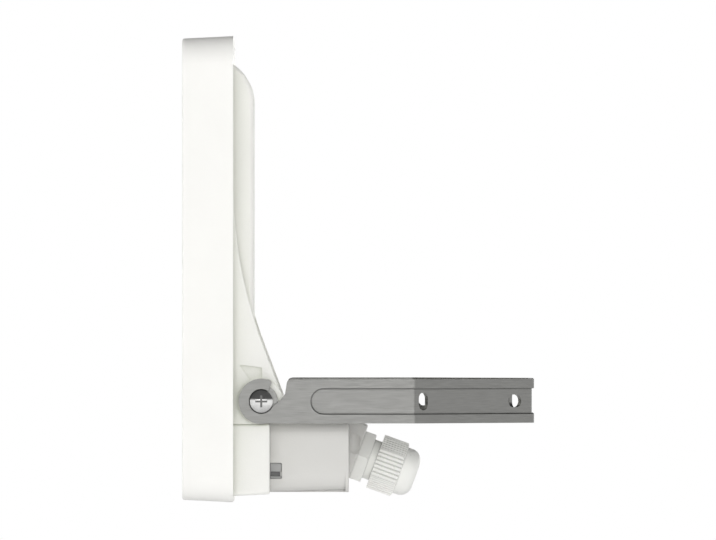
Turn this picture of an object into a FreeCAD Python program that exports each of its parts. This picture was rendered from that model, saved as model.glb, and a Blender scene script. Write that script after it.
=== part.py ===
import FreeCAD, Part

import math
import os

from FreeCAD import Rotation, Vector

# Outdoor floodlight on a hook-in bracket. Millimetres, +Z up, light thrown towards -Y, wall at Y = 0.
# The pivot axis runs along X at Z = 0, and the head is symmetric about X = 0.

# Head: a square frame and a flat casting behind it
pivot_reach = 131.4
head_size = 223.9
head_drop = 48.5
frame_depth = 24.5
frame_draft = 1.2
frame_corner = 12.0
frame_wall = 4.9
frame_setback = 13.5
lip_width = 12.8
lip_thickness = 3.2
lip_bevel = 1.6
frame_edge = 1.2

# Front glass, its gasket and the optics
glass_thickness = 4.0
glass_play = 3.0
gasket_thickness = 3.0
rim_inset = 8.0
rim_wall = 2.5
rim_corner = 18.0
plate_thickness = 3.3
board_margin = 6.55
board_corner = 3.0
board_thickness = 1.6
led_size = 7.0
led_height = 0.7
lens_rows = 4
lens_border = 20.0
lens_radius = 12.5
lens_height = 6.0
lens_sheet = 2.0
lens_skirt = 2.0
lens_margin = 16.0
lens_corner = 6.0
reflector_sheet = 1.4
reflector_flange = 6.0

# Rear casting: cooling back, ears and lower block
back_depth = 9.5
back_round = 20.4
back_centre_drop = 17.85
back_edge = 2.0
groove_count = 13
groove_pitch = 13.0
groove_width = 6.0
groove_depth = 6.0
groove_foot = 22.0
ear_inset = 10.35
ear_thickness = 7.6
ear_slope = 20.9
ear_straight = 23.9
ear_top = 103.0
boss_radius = 10.4
boss_proud = 1.4
boss_depth = 14.0
block_depth = 17.5
block_top = 10.9
block_clear = 3.0
block_draft = 0.9
block_edge = 1.5
pocket_depth = 1.6
pocket_tuck = 0.6
pocket_height = 7.3
pocket_rear = 0.4
pocket_foot = 6.0
pocket_width = 11.2
pocket_slant = 1.5
pocket_round = 0.5
ear_edge = 0.4
block_rim = 0.8

# Connection box, its cover and what it holds
box_width = 156.0
box_depth = 36.4
box_top = 7.0
box_step = 1.8
box_draft = 1.3
box_wall = 3.5
box_round = 8.0
keel_width = 120.0
keel_drop = 0.2
cover_thickness = 1.6
cover_lip = 1.5
cover_edge = 0.5
seat_edge = 0.8
seal_width = 2.0
seal_thickness = 1.2
post_radius = 4.5
post_sink = 1.0
driver_play = 3.5
driver_thickness = 1.6
driver_stand = 3.0
stand_radius = 3.0
stand_inset = 5.0
core_width = 24.0
core_depth = 18.0
core_clear = 7.8
capacitor_radius = 7.0
capacitor_length = 24.0
terminal_width = 26.0
terminal_depth = 10.0
terminal_height = 12.0
terminal_setback = 4.0
terminal_ways = 3
duct_radius = 4.8
duct_margin = 7.2
lead_radius = 0.9
lead_bend = 3.0
lead_pad = 5.0

# Window and slot in each side of the box, and a pocket in each side of the gland seat
window_width = 5.9
window_height = 7.8
window_drop = 29.7
window_depth = 1.6
window_round = 0.8
window_slot = 2.4
window_slot_depth = 1.1
notch_radius = 3.0
notch_depth = 1.5
notch_height = 10.0
notch_drop = 16.0

# Gland on its slanted seat
gland_tilt = 20.0
gland_drop = 26.3
seat_proud = 4.2
seat_margin = 0.65
seat_width = 46.0
seat_wall = 2.5
gland_size = 24.0
gland_thread = 10.0
gland_hex = 5.7
hex_chamfer = 0.7
gland_neck = 9.8
gland_neck_length = 3.6
gland_sleeve = 9.1
gland_bore = 8.2
nut_length = 13.0
nut_travel = 2.25
nut_taper = 3.2
mouth_play = 1.4
nut_crown = 7.8
nut_crown_radius = 11.65
nut_round = 5.8
nut_ribs = 7
nut_rib_width = 0.7
nut_rib_depth = 0.7
nut_chamfer = 0.9
seal_radius = 8.0
cable_radius = 5.0
locknut_thickness = 5.0

# Bracket strip
strip_width = 21.2
strip_thickness = 2.0
bend_radius = 1.2
arm_reach = 57.1
bead_width = 12.0
bead_depth = 1.1
bead_flare = 1.1
bead_end = 23.9
bead_edge = 0.4
ridge_edge = 0.7
hook_round = 1.7
ring_extra = 0.3
slot_radius = 3.05
slot_length = 8.7
base_slot_span = 63.0
centre_hole_radius = 4.25
flank_slots = ((1, 52.8, True), (1, 8.6, False), (-1, 51.6, False), (-1, 7.0, True))
mouth_near = 4.9
mouth_lean = 1.6
mouth_tip = 8.4
mouth_far = 12.7
mouth_round = 1.6

# Pivot screws and small fasteners
pivot_thread = 3.0
pivot_length = 14.0
pivot_hole = 4.0
pivot_head = 5.5
pivot_crown = 1.3
pivot_spare = 1.0
cross_reach = 2.86
cross_width = 1.0
cross_depth = 2.5
washer_radius = 8.0
washer_thickness = 1.0
frame_screw = 2.0
frame_screw_length = 10.0
frame_screw_span = 176.0
frame_screw_side = 56.5
board_screw = 1.5
board_screw_length = 4.0
cover_screw = 1.5
cover_screw_length = 10.0
box_screw = 2.0
box_screw_length = 9.0
box_screw_span = 104.0

# Clearances
gap = 0.3
snug = 0.05
bore_play = 0.2
through = 6.0

# Planes and points worked out from the sizes above
pivot_y = -pivot_reach
head_half = head_size / 2
head_lift = head_half - head_drop
frame_rear = pivot_y - frame_setback
frame_front = frame_rear - frame_depth
cavity_half = head_half - frame_wall
cavity_corner = frame_corner - frame_wall / 2
glass_front = frame_front + lip_thickness
glass_rear = glass_front + glass_thickness
rim_front = glass_rear + gasket_thickness
plate_front = frame_rear - plate_thickness
rim_outer = cavity_half - rim_inset
rim_inner = rim_outer - rim_wall
board_front = plate_front - board_thickness
board_half = rim_inner - board_margin
lens_half = board_half - lens_border
lens_pitch = 2 * (lens_half - lens_margin) / (lens_rows - 1)
lens_back = board_front - led_height - gap
back_rear = frame_rear + back_depth
ear_outer = head_half - ear_inset
ear_inner = ear_outer - ear_thickness
boss_face = ear_outer + boss_proud
block_rear = frame_rear + block_depth
block_bottom = block_clear - head_drop
box_half = box_width / 2
box_bottom = block_bottom + box_step
post_inset = box_wall + post_radius - post_sink
box_rear = block_rear + box_depth
cover_rear = box_rear + cover_thickness
driver_base = box_bottom + box_draft + box_wall + driver_stand
driver_top = driver_base + driver_thickness
driver_half = box_half - box_wall - 2 * post_radius - driver_play
core_height = -box_top - box_wall - core_clear - driver_top
tilt = math.radians(gland_tilt)
gland_axis = Vector(0, math.cos(tilt), -math.sin(tilt))
gland_up = Vector(0, math.sin(tilt), math.cos(tilt))
gland_seat = Vector(0, cover_rear + seat_proud, -gland_drop)
gland_face = gland_hex + gland_neck_length
nut_bore = gland_sleeve + nut_travel + bore_play
seat_rise = gland_size / 2 + seat_wall + seat_margin
arm_inner = boss_face + washer_thickness
arm_outer = arm_inner + strip_thickness
strip_half = strip_width / 2
ring_radius = strip_half + ring_extra
base_half = arm_outer - arm_reach


def block(x0, x1, y0, y1, z0, z1):
    """Plain block between two opposite corners."""
    return Part.makeBox(x1 - x0, y1 - y0, z1 - z0, Vector(x0, y0, z0))


def rod(start, direction, length, radius):
    """Round bar from a point along a direction."""
    return Part.makeCylinder(radius, length, start, direction)


def cone(start, direction, length, radius, end_radius):
    """Tapered round bar from a point along a direction."""
    return Part.makeCone(radius, end_radius, length, start, direction)


def outline(corners, lift):
    """Closed wire through flat corners (a, b, radius); lift puts a flat point in space."""
    turns = []
    for index, (a, b, radius) in enumerate(corners):
        here = Vector(a, b, 0)
        before = corners[index - 1]
        after = corners[(index + 1) % len(corners)]
        back = (Vector(before[0], before[1], 0) - here).normalize()
        onward = (Vector(after[0], after[1], 0) - here).normalize()
        if radius == 0:
            turns.append((here, None, here))
            continue
        half = back.getAngle(onward) / 2
        reach = radius / math.tan(half)
        inward = (back + onward).normalize()
        middle = here + inward * (radius / math.sin(half) - radius)
        turns.append((here + back * reach, middle, here + onward * reach))
    edges = []
    for index, (start, middle, end) in enumerate(turns):
        if middle is not None:
            edges.append(Part.Arc(lift(start), lift(middle), lift(end)).toShape())
        following = turns[(index + 1) % len(turns)][0]
        if (following - end).Length > 1e-6:
            edges.append(Part.LineSegment(lift(end), lift(following)).toShape())
    return Part.Wire(edges)


def side_slab(corners, x0, x1):
    """Slab between two X planes with an outline given as (y, z, radius)."""
    wire = outline(corners, lambda p: Vector(x0, p.x, p.y))
    return Part.Face(wire).extrude(Vector(x1 - x0, 0, 0))


def upright_wire(half_x, low, high, radius, y):
    """Rounded rectangle in the plane at y."""
    corners = [(-half_x, low, radius), (half_x, low, radius), (half_x, high, radius), (-half_x, high, radius)]
    return outline(corners, lambda p: Vector(p.x, y, p.y))


def upright_slab(half_x, low, high, radius, y0, y1):
    """Rounded rectangular slab between two Y planes."""
    return Part.Face(upright_wire(half_x, low, high, radius, y0)).extrude(Vector(0, y1 - y0, 0))


def square_slab(half, radius, y0, y1):
    """Rounded square slab about the head's centre."""
    return upright_slab(half, head_lift - half, head_lift + half, radius, y0, y1)


def square_taper(half0, half1, radius0, radius1, y0, y1):
    """Rounded square that changes size between two Y planes, about the head's centre."""
    first = upright_wire(half0, head_lift - half0, head_lift + half0, radius0, y0)
    last = upright_wire(half1, head_lift - half1, head_lift + half1, radius1, y1)
    return Part.makeLoft([first, last], True, True)


def both_sides(shape):
    """The shape and its mirror image across X = 0."""
    return [shape, shape.mirror(Vector(0, 0, 0), Vector(1, 0, 0))]


def join(shapes):
    """One solid from several that meet."""
    return shapes[0].fuse(shapes[1:]).removeSplitter()


def hexagon(start, direction, upward, length, across, point_up, chamfer):
    """Hexagonal bar along a direction, with a point or a flat towards upward and its far corners turned off."""
    sideways = direction.cross(upward)
    radius = across / math.sqrt(3)
    first = 0 if point_up else 30
    points = []
    for step in range(7):
        angle = math.radians(first + 60 * step)
        points.append(start + upward * (radius * math.cos(angle)) + sideways * (radius * math.sin(angle)))
    bar = Part.Face(Part.makePolygon(points)).extrude(direction * length)
    straight = length - chamfer
    turned = rod(start, direction, straight, radius + snug)
    tip = cone(start + direction * straight, direction, chamfer, radius + snug, radius + snug - 2 * chamfer)
    return bar.common(turned.fuse(tip))


def bent_rod(stops, bend, radius):
    """Round bar along straight runs joined by arcs."""
    edges = []
    start = stops[0]
    for index in range(1, len(stops) - 1):
        corner = stops[index]
        back = (stops[index - 1] - corner).normalize()
        onward = (stops[index + 1] - corner).normalize()
        centre = corner + (back + onward) * bend
        middle = centre - (back + onward).normalize() * bend
        edges.append(Part.LineSegment(start, corner + back * bend).toShape())
        edges.append(Part.Arc(corner + back * bend, middle, corner + onward * bend).toShape())
        start = corner + onward * bend
    edges.append(Part.LineSegment(start, stops[-1]).toShape())
    direction = (stops[1] - stops[0]).normalize()
    ring = Part.Wire(Part.makeCircle(radius, stops[0], direction))
    return Part.Wire(edges).makePipeShell([ring], True, False)


def flat_screw(face, direction, radius, length, head_radius):
    """Countersunk screw: a flush cone on a shank, pointing along direction."""
    head_height = head_radius - radius
    head = cone(face, direction, head_height, head_radius, radius)
    shank = rod(face + direction * head_height, direction, length - head_height, radius)
    return join([head, shank])


def flat_screw_hole(face, direction, radius, length, head_radius):
    """Room for a countersunk screw, with a little play all round."""
    head_height = head_radius - radius
    head = cone(face, direction, head_height, head_radius + snug * 2, radius + snug * 2)
    above = rod(face - direction, direction, 1, head_radius + snug * 2)
    shank = rod(face, direction, length + gap, radius + snug * 2)
    return join([above, head, shank])


def pan_screw(face, direction, radius, length):
    """Pan-head screw whose head sits on a face."""
    head_height = radius * 1.2
    head = cone(face, -direction, head_height, radius * 2, radius * 1.6)
    shank = rod(face, direction, length, radius)
    return join([head, shank])


# Front frame and what it holds


def frame_screw_places():
    """Centres of the screws that pull the rear casting into the frame, as (x, z)."""
    band = cavity_half - rim_inset / 2
    places = []
    for side in (-1, 1):
        places.append((side * frame_screw_span / 2, head_lift + band))
        places.append((side * frame_screw_span / 2, head_lift - band))
        places.append((side * band, head_lift + frame_screw_side))
    return places


def front_frame():
    body = square_taper(head_half - frame_draft, head_half, frame_corner, frame_corner, frame_front, frame_rear)
    edges = [edge for edge in body.Edges if edge.BoundBox.YMax < frame_front + 0.01]
    body = body.makeFillet(frame_edge, edges)
    cavity = square_slab(cavity_half, cavity_corner, glass_front, frame_rear + 1)
    opening_half = head_half - lip_width
    opening = square_slab(opening_half, cavity_corner, frame_front - 1, glass_front + 1)
    bevel_half = opening_half + lip_bevel
    bevel_rear = frame_front + lip_bevel
    bevel = square_taper(bevel_half, opening_half, cavity_corner, cavity_corner, frame_front, bevel_rear)
    body = body.cut([cavity, opening, bevel])
    lugs = []
    holes = []
    for x, z in frame_screw_places():
        beside = abs(x) > cavity_half - rim_inset
        reach_x = rim_inset / 2 if beside else frame_screw * 2.5
        reach_z = frame_screw * 2.5 if beside else rim_inset / 2
        lug = block(x - reach_x, x + reach_x, rim_front + gap, plate_front, z - reach_z, z + reach_z)
        outer_wall = block(-cavity_half - 1, cavity_half + 1, rim_front + gap, plate_front,
                           head_lift - cavity_half - 1, head_lift + cavity_half + 1)
        inner_room = square_slab(rim_outer + gap, rim_corner, rim_front, plate_front)
        lugs.append(lug.common(outer_wall).cut(inner_room))
        holes.append(rod(Vector(x, plate_front, z), Vector(0, -1, 0), frame_screw_length, frame_screw + snug))
    return join([body] + lugs).cut(holes)


def front_glass():
    half = cavity_half - glass_play
    return square_slab(half, cavity_corner, glass_front, glass_rear)


def glass_gasket():
    outer = square_slab(cavity_half - glass_play, cavity_corner, glass_rear, rim_front)
    return outer.cut(square_slab(rim_inner, rim_corner - rim_wall, glass_rear, rim_front))


def lens_centres():
    centres = []
    for row in range(lens_rows):
        for column in range(lens_rows):
            x = lens_pitch * (column - (lens_rows - 1) / 2)
            z = head_lift + lens_pitch * (row - (lens_rows - 1) / 2)
            centres.append((x, z))
    return centres


def lens_plate():
    sheet = square_slab(lens_half, lens_corner, lens_back - lens_sheet, lens_back)
    skirt = square_slab(lens_half, lens_corner, lens_back - lens_sheet, board_front)
    inner_corner = lens_corner - lens_skirt
    skirt = skirt.cut(square_slab(lens_half - lens_skirt, inner_corner, lens_back - lens_sheet, board_front))
    front = lens_back - lens_sheet
    cap_radius = (lens_radius ** 2 + lens_height ** 2) / (2 * lens_height)
    domes = []
    for x, z in lens_centres():
        ball = Part.makeSphere(cap_radius, Vector(x, front - lens_height + cap_radius, z))
        window = rod(Vector(x, front - lens_height - 1, z), Vector(0, 1, 0), lens_height + 1 + lens_sheet / 2,
                     lens_radius)
        domes.append(ball.common(window))
    return join([sheet, skirt] + domes)


def reflector_frame():
    inner = lens_half + gap
    foot = inner + reflector_flange
    rim = rim_inner - gap
    rim_y = rim_front + gap
    foot_y = board_front - reflector_sheet
    corner = rim_corner - rim_wall
    flange = square_slab(foot, corner, foot_y, board_front)
    flange = flange.cut(square_slab(inner, lens_corner, foot_y, board_front))
    solid = square_taper(rim, foot, corner, corner, rim_y, foot_y)
    hollow = square_taper(rim - reflector_sheet, foot - reflector_sheet, corner, corner, rim_y, foot_y)
    return join([solid.cut(hollow), flange])


def led_board():
    board = square_slab(board_half, board_corner, board_front, plate_front)
    tools = [wire_duct()]
    for x, z in board_screw_places():
        tools.append(rod(Vector(x, board_front, z), Vector(0, 1, 0), board_thickness, board_screw + snug))
    return board.cut(tools)


def board_screw_places():
    reach = lens_pitch * (lens_rows - 2) / 2
    return [(x, head_lift + z) for x in (-reach, reach) for z in (-reach, reach)]


def board_wire_place():
    """Where the leads pass from the board into the lower block, as (x, z)."""
    return 0.0, head_lift - board_half + duct_margin


def led_packages():
    half = led_size / 2
    return [block(x - half, x + half, board_front - led_height, board_front, z - half, z + half)
            for x, z in lens_centres()]


def led_leads():
    """Two leads: along the board's face, back through the lower block, then down to the driver."""
    duct_x, duct_z = board_wire_place()
    leads = []
    for side in (-1, 1):
        x = duct_x + side * (lead_radius + gap)
        face_y = board_front - lead_radius
        box_y = block_rear + box_wall + lead_bend
        stops = [Vector(x + side * (lead_bend + lead_pad), face_y, duct_z), Vector(x, face_y, duct_z),
                 Vector(x, box_y, duct_z), Vector(x, box_y, driver_top)]
        leads.append(bent_rod(stops, lead_bend, lead_radius))
    return leads


def board_screws():
    """Low screws between the lenses that press the board on the casting."""
    height = led_height
    screws = []
    for x, z in board_screw_places():
        head = rod(Vector(x, board_front - height, z), Vector(0, 1, 0), height, board_screw * 2)
        shank = rod(Vector(x, board_front, z), Vector(0, 1, 0), board_screw_length, board_screw)
        screws.append(join([head, shank]))
    return screws


# Rear casting


def ear_outline():
    """Side outline of an ear: an arc off the frame, a straight edge, then the pivot boss."""
    slope = math.radians(ear_slope)
    along = Vector(-math.sin(slope), math.cos(slope), 0)
    outward = Vector(math.cos(slope), math.sin(slope), 0)
    pivot = Vector(pivot_y, 0, 0)
    touch = pivot + outward * boss_radius
    bend = touch + along * ear_straight
    top = Vector(frame_rear, ear_top, 0)
    chord = top - bend
    swing = along.getAngle(chord)
    radius = chord.Length / (2 * math.sin(swing))
    centre = bend + outward * radius
    middle = centre - (centre - (top + bend) * 0.5).normalize() * radius
    low = Vector(pivot_y, -boss_radius, 0)
    half_turn = (outward + Vector(0, -1, 0)).normalize()
    return touch, bend, middle, top, low, pivot + half_turn * boss_radius


def ear():
    touch, bend, middle, top, low, boss_side = ear_outline()

    def lift(point):
        return Vector(ear_inner, point.x, point.y)

    foot = Vector(frame_rear, -block_top, 0)
    under = Vector(pivot_y, -block_top, 0)
    edges = [
        Part.Arc(lift(top), lift(middle), lift(bend)).toShape(),
        Part.LineSegment(lift(bend), lift(touch)).toShape(),
        Part.Arc(lift(touch), lift(boss_side), lift(low)).toShape(),
        Part.LineSegment(lift(low), lift(under)).toShape(),
        Part.LineSegment(lift(under), lift(foot)).toShape(),
        Part.LineSegment(lift(foot), lift(top)).toShape(),
    ]
    plate = Part.Face(Part.Wire(edges)).extrude(Vector(ear_thickness, 0, 0))
    rims = [edge for edge in plate.Edges
            if abs(edge.CenterOfMass.x - ear_outer) < 0.01 and edge.CenterOfMass.y > frame_rear + 0.1
            and edge.CenterOfMass.z > boss_radius / 2]
    return plate.makeFillet(ear_edge, rims)


def ear_pocket():
    """Slanted pocket in an ear's face, just above the pivot boss."""
    low = ring_radius - pocket_tuck
    high = boss_radius + pocket_height
    rear = pivot_y + pocket_rear
    corners = [(rear - pocket_foot, low, pocket_round), (rear, low, pocket_round),
               (rear, high - pocket_slant, pocket_round), (rear - pocket_width, high, pocket_round)]
    return side_slab(corners, ear_outer - pocket_depth, ear_outer + 1)


def cooling_back():
    """Flat back with a round top; its edges run into the frame's plane."""
    centre_z = head_lift + cavity_half - rim_inset - back_centre_drop
    centre_y = back_rear - back_round
    reach = math.sqrt(back_round ** 2 - (frame_rear - centre_y) ** 2)
    half_angle = math.atan2(reach, frame_rear - centre_y) / 2

    def lift(y, z):
        return Vector(-ear_inner, y, z)

    top = lift(frame_rear, centre_z + reach)
    middle = lift(centre_y + back_round * math.cos(half_angle), centre_z + back_round * math.sin(half_angle))
    shoulder = lift(back_rear, centre_z)
    foot = lift(back_rear, -block_top)
    root = lift(frame_rear, -block_top)
    inside = Vector(0, -plate_thickness / 2, 0)
    edges = [
        Part.Arc(top, middle, shoulder).toShape(),
        Part.LineSegment(shoulder, foot).toShape(),
        Part.LineSegment(foot, root).toShape(),
        Part.LineSegment(root, root + inside).toShape(),
        Part.LineSegment(root + inside, top + inside).toShape(),
        Part.LineSegment(top + inside, top).toShape(),
    ]
    back = Part.Face(Part.Wire(edges)).extrude(Vector(2 * ear_inner, 0, 0))
    rims = [edge for edge in back.Edges
            if abs(abs(edge.CenterOfMass.x) - ear_inner) < 0.01 and edge.CenterOfMass.y > frame_rear + 0.01
            and edge.CenterOfMass.z > 0]
    back = back.makeFillet(back_edge, rims)
    floor = back_rear - groove_depth
    grooves = []
    for index in range(groove_count):
        x = groove_pitch * (index - (groove_count - 1) / 2)
        half = groove_width / 2
        groove = block(x - half, x + half, floor, back_rear + 1, groove_foot, centre_z + back_round)
        foot_round = rod(Vector(x, floor, groove_foot), Vector(0, 1, 0), groove_depth + 1, half)
        grooves += [groove, foot_round]
    return back.cut(grooves)


def lower_block():
    front = upright_wire(ear_outer, block_bottom, -block_top, block_edge, frame_rear)
    rear = upright_wire(ear_outer, block_bottom + block_draft, -block_top, block_edge, block_rear)
    body = Part.makeLoft([front, rear], True, True)
    rims = [edge for edge in body.Edges if edge.BoundBox.YMin > block_rear - 0.01]
    return body.makeFillet(block_rim, rims)


def box_screw_places():
    middle = (box_bottom - box_top) / 2
    return [(side * box_screw_span / 2, middle) for side in (-1, 1)]


def wire_duct():
    """Straight passage from the light chamber through the lower block into the box."""
    x, z = board_wire_place()
    return rod(Vector(x, board_front, z), Vector(0, 1, 0), block_rear + box_wall - board_front, duct_radius)


def rear_housing():
    plate = square_slab(cavity_half - gap, cavity_corner, plate_front, frame_rear)
    rim = square_slab(rim_outer, rim_corner, rim_front, plate_front)
    rim = rim.cut(square_slab(rim_inner, rim_corner - rim_wall, rim_front, plate_front))
    boss = rod(Vector(boss_face, pivot_y, 0), Vector(-1, 0, 0), boss_depth + boss_proud, boss_radius)
    body = join([plate, rim, cooling_back(), lower_block()] + both_sides(ear()) + both_sides(boss))
    bore = rod(Vector(boss_face, pivot_y, 0), Vector(-1, 0, 0), pivot_length, pivot_thread + snug)
    tools = both_sides(bore) + both_sides(ear_pocket())
    for x, z in frame_screw_places():
        behind = z < 0
        face = Vector(x, frame_rear, z)
        tools.append(flat_screw_hole(face, Vector(0, -1, 0), frame_screw, frame_screw_length, frame_screw * 2))
        if behind:
            tools.append(rod(face, Vector(0, 1, 0), block_depth + 1, frame_screw * 2 + gap))
    for x, z in box_screw_places():
        tools.append(rod(Vector(x, block_rear, z), Vector(0, -1, 0), box_screw_length, box_screw + snug))
    for x, z in board_screw_places():
        tools.append(rod(Vector(x, plate_front, z), Vector(0, 1, 0), board_screw_length, board_screw + snug))
    tools.append(wire_duct())
    return body.cut(tools)


def frame_screws():
    screws = []
    for x, z in frame_screw_places():
        face = Vector(x, frame_rear, z)
        screws.append(flat_screw(face, Vector(0, -1, 0), frame_screw, frame_screw_length, frame_screw * 2))
    return screws


# Connection box


def box_wire(inset, y, draft):
    low = box_bottom + draft + inset
    high = -box_top - inset
    return upright_wire(box_half - inset, low, high, box_round - inset / 2, y)


def cover_screw_places():
    low = box_bottom + box_draft + post_inset
    high = -box_top - post_inset
    reach = box_half - post_inset
    return [(x, z) for x in (-reach, reach) for z in (low, high)]


def driver_stand_places():
    front = block_rear + box_wall + stand_inset
    rear = box_rear - seal_thickness - stand_inset
    reach = driver_half - stand_inset
    return [(x, y) for x in (-reach, reach) for y in (front, rear)]


def side_window():
    """Window with a deeper slot at its foot, in the box's side beside the lower block."""
    top = -window_drop
    low = top - window_height
    rear = block_rear + window_width
    front = block_rear - 1
    corners = [(front, low, 0), (rear, low, window_round), (rear, top, window_round), (front, top, 0)]
    window = side_slab(corners, box_half - window_depth, box_half + 1)
    slot_low = low + window_slot / 2
    depth = window_depth + window_slot_depth
    slot = block(box_half - depth, box_half, front, rear - window_round, slot_low, slot_low + window_slot)
    return window.fuse(slot)


def terminal_box():
    body = Part.makeLoft([box_wire(0, block_rear, 0), box_wire(0, box_rear, box_draft)], True, True)
    room = Part.makeLoft([box_wire(box_wall, block_rear + box_wall, box_draft),
                          box_wire(box_wall, box_rear + 1, box_draft)], True, True)
    body = body.cut(room)
    floor = box_bottom + box_draft + box_wall
    additions = []
    for x, z in cover_screw_places():
        post = rod(Vector(x, block_rear + box_wall / 2, z), Vector(0, 1, 0),
                   box_depth - box_wall / 2 - seal_thickness, post_radius)
        additions.append(post)
    for x, y in driver_stand_places():
        additions.append(rod(Vector(x, y, floor - box_wall / 2), Vector(0, 0, 1), driver_stand + box_wall / 2,
                             stand_radius))
    additions.append(block(-keel_width / 2, keel_width / 2, block_rear, box_rear, box_bottom - keel_drop,
                           box_bottom + box_wall))
    body = join([body] + additions)
    groove = upright_slab(box_half - box_wall + seal_width, box_bottom + box_draft + box_wall - seal_width,
                          -box_top - box_wall + seal_width, box_round, box_rear - seal_thickness, box_rear + 1)
    tools = [groove, wire_duct()] + both_sides(side_window())
    for x, z in cover_screw_places():
        tools.append(rod(Vector(x, box_rear, z), Vector(0, -1, 0), cover_screw_length, cover_screw + snug))
    for x, y in driver_stand_places():
        tools.append(rod(Vector(x, y, driver_base), Vector(0, 0, -1), board_screw_length, board_screw + snug))
    for x, z in box_screw_places():
        tools.append(rod(Vector(x, block_rear, z), Vector(0, 1, 0), box_wall, box_screw + snug * 2))
    return body.cut(tools)


def box_screws():
    screws = []
    for x, z in box_screw_places():
        screws.append(pan_screw(Vector(x, block_rear + box_wall, z), Vector(0, -1, 0), box_screw,
                                box_screw_length + box_wall - 1))
    return screws


def cover_gasket():
    half = box_half - box_wall + seal_width
    low = box_bottom + box_draft + box_wall - seal_width
    high = -box_top - box_wall + seal_width
    ring = upright_slab(half, low, high, box_round, box_rear - seal_thickness, box_rear)
    room = upright_slab(half - seal_width, low + seal_width, high - seal_width, box_round - box_wall / 2,
                        box_rear - seal_thickness, box_rear)
    return ring.cut(room)


def gland_point(distance, rise=0.0):
    """Point on the gland's axis, measured outward from its seat, or above it along the seat."""
    return gland_seat + gland_axis * distance + gland_up * rise


def seat_corners(inset, start):
    """Side outline of the slanted seat from the plane at start, drawn in by inset."""
    crest = gland_point(-inset, seat_rise - inset)
    back = (crest.y - start) / math.cos(tilt)
    heel = crest - gland_axis * back
    middle = gland_point(-inset)
    fall = (middle.y - start) / math.sin(tilt)
    toe = middle - gland_up * fall
    return [(crest.y, crest.z, 0), (heel.y, heel.z, 0), (toe.y, toe.z, 0)]


def seat_notch():
    """Round-ended channel down the seat's flank."""
    end = math.sqrt(notch_radius ** 2 - (notch_radius - notch_depth) ** 2)
    low = Vector(seat_width / 2 + notch_radius - notch_depth, cover_rear + notch_radius + snug,
                 -notch_drop - notch_height + end)
    length = notch_height - 2 * end
    channel = rod(low, Vector(0, 0, 1), length, notch_radius)
    balls = [Part.makeSphere(notch_radius, low), Part.makeSphere(notch_radius, low + Vector(0, 0, length))]
    return join([channel] + balls)


def terminal_cover():
    low = box_bottom + box_draft - cover_lip
    flange = upright_slab(box_half, low, -box_top, box_round, box_rear, cover_rear)
    flange_rims = [edge for edge in flange.Edges if edge.BoundBox.YMin > cover_rear - 0.01]
    flange = flange.makeFillet(cover_edge, flange_rims)
    seat = side_slab(seat_corners(0, box_rear), -seat_width / 2, seat_width / 2)
    seat_rims = [edge for edge in seat.Edges if edge.BoundBox.YMax > box_rear + 0.01]
    seat = seat.makeFillet(seat_edge, seat_rims)
    body = join([flange, seat])
    room_half = gland_size / math.sqrt(3) + gap * 3
    room = side_slab(seat_corners(seat_wall, box_rear - 2), -room_half, room_half)
    bore = rod(gland_point(1), -gland_axis, seat_wall + seat_proud * 4, gland_thread + bore_play)
    tools = [room, bore] + both_sides(seat_notch())
    for x, z in cover_screw_places():
        face = Vector(x, cover_rear, z)
        tools.append(flat_screw_hole(face, Vector(0, -1, 0), cover_screw, cover_screw_length, cover_screw * 2))
    return body.cut(tools)


def cover_screws():
    screws = []
    for x, z in cover_screw_places():
        face = Vector(x, cover_rear, z)
        screws.append(flat_screw(face, Vector(0, -1, 0), cover_screw, cover_screw_length, cover_screw * 2))
    return screws


# Driver and terminals


def driver_board():
    front = block_rear + box_wall + gap * 4
    rear = box_rear - seal_thickness - gap * 3
    board = block(-driver_half, driver_half, front, rear, driver_base, driver_top)
    nut_foot = gland_point(-seat_wall - locknut_thickness, -gland_size / 2)
    room_half = gland_size / math.sqrt(3) + gap * 3
    notch = block(-room_half, room_half, nut_foot.y - gap * 3, rear + 1, driver_base, driver_top)
    tools = [notch]
    for x, y in driver_stand_places():
        tools.append(rod(Vector(x, y, driver_base), Vector(0, 0, 1), driver_thickness, board_screw + snug))
    return board.cut(tools)


def driver_screws():
    return [pan_screw(Vector(x, y, driver_top), Vector(0, 0, -1), board_screw, board_screw_length)
            for x, y in driver_stand_places()]


def driver_middle():
    return block_rear + box_wall + gap * 4 + core_depth / 2 + 1


def transformer():
    x = -driver_half / 2
    y = driver_middle()
    half_x = core_width / 2
    half_y = core_depth / 2
    core = block(x - half_x, x + half_x, y - half_y, y + half_y, driver_top, driver_top + core_height)
    coil_end = Vector(x - half_x - 2, y, driver_top + core_height / 2)
    coil = rod(coil_end, Vector(1, 0, 0), core_width + 4, core_height * 0.36)
    return join([core, coil])


def capacitors():
    foot = Vector(0, driver_middle(), driver_top + capacitor_radius)
    big = rod(foot, Vector(1, 0, 0), capacitor_length, capacitor_radius)
    beside = Vector(-capacitor_radius - 1, driver_middle(), driver_top)
    small = rod(beside, Vector(0, 0, 1), capacitor_length / 2, capacitor_radius * 0.6)
    return [big, small]


def terminal_place():
    """Left, front and foot corner of the terminal block."""
    x = driver_half - stand_inset * 2 - terminal_width - 1
    y = box_rear - seal_thickness - terminal_depth - terminal_setback
    return x, y, driver_top


def terminal_block():
    x, y, z = terminal_place()
    width = terminal_width
    depth = terminal_depth
    height = terminal_height
    body = block(x, x + width, y, y + depth, z, z + height)
    tools = []
    pitch = width / terminal_ways
    for way in range(terminal_ways):
        middle = x + pitch * (way + 0.5)
        screw_top = Vector(middle, y + depth / 2, z + height)
        tools.append(rod(screw_top, Vector(0, 0, -1), height * 0.5, pitch * 0.3))
        lead_mouth = Vector(middle, y + depth, z + height * 0.35)
        tools.append(rod(lead_mouth, Vector(0, -1, 0), depth * 0.8, pitch * 0.25))
    return body.cut(tools)


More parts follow.
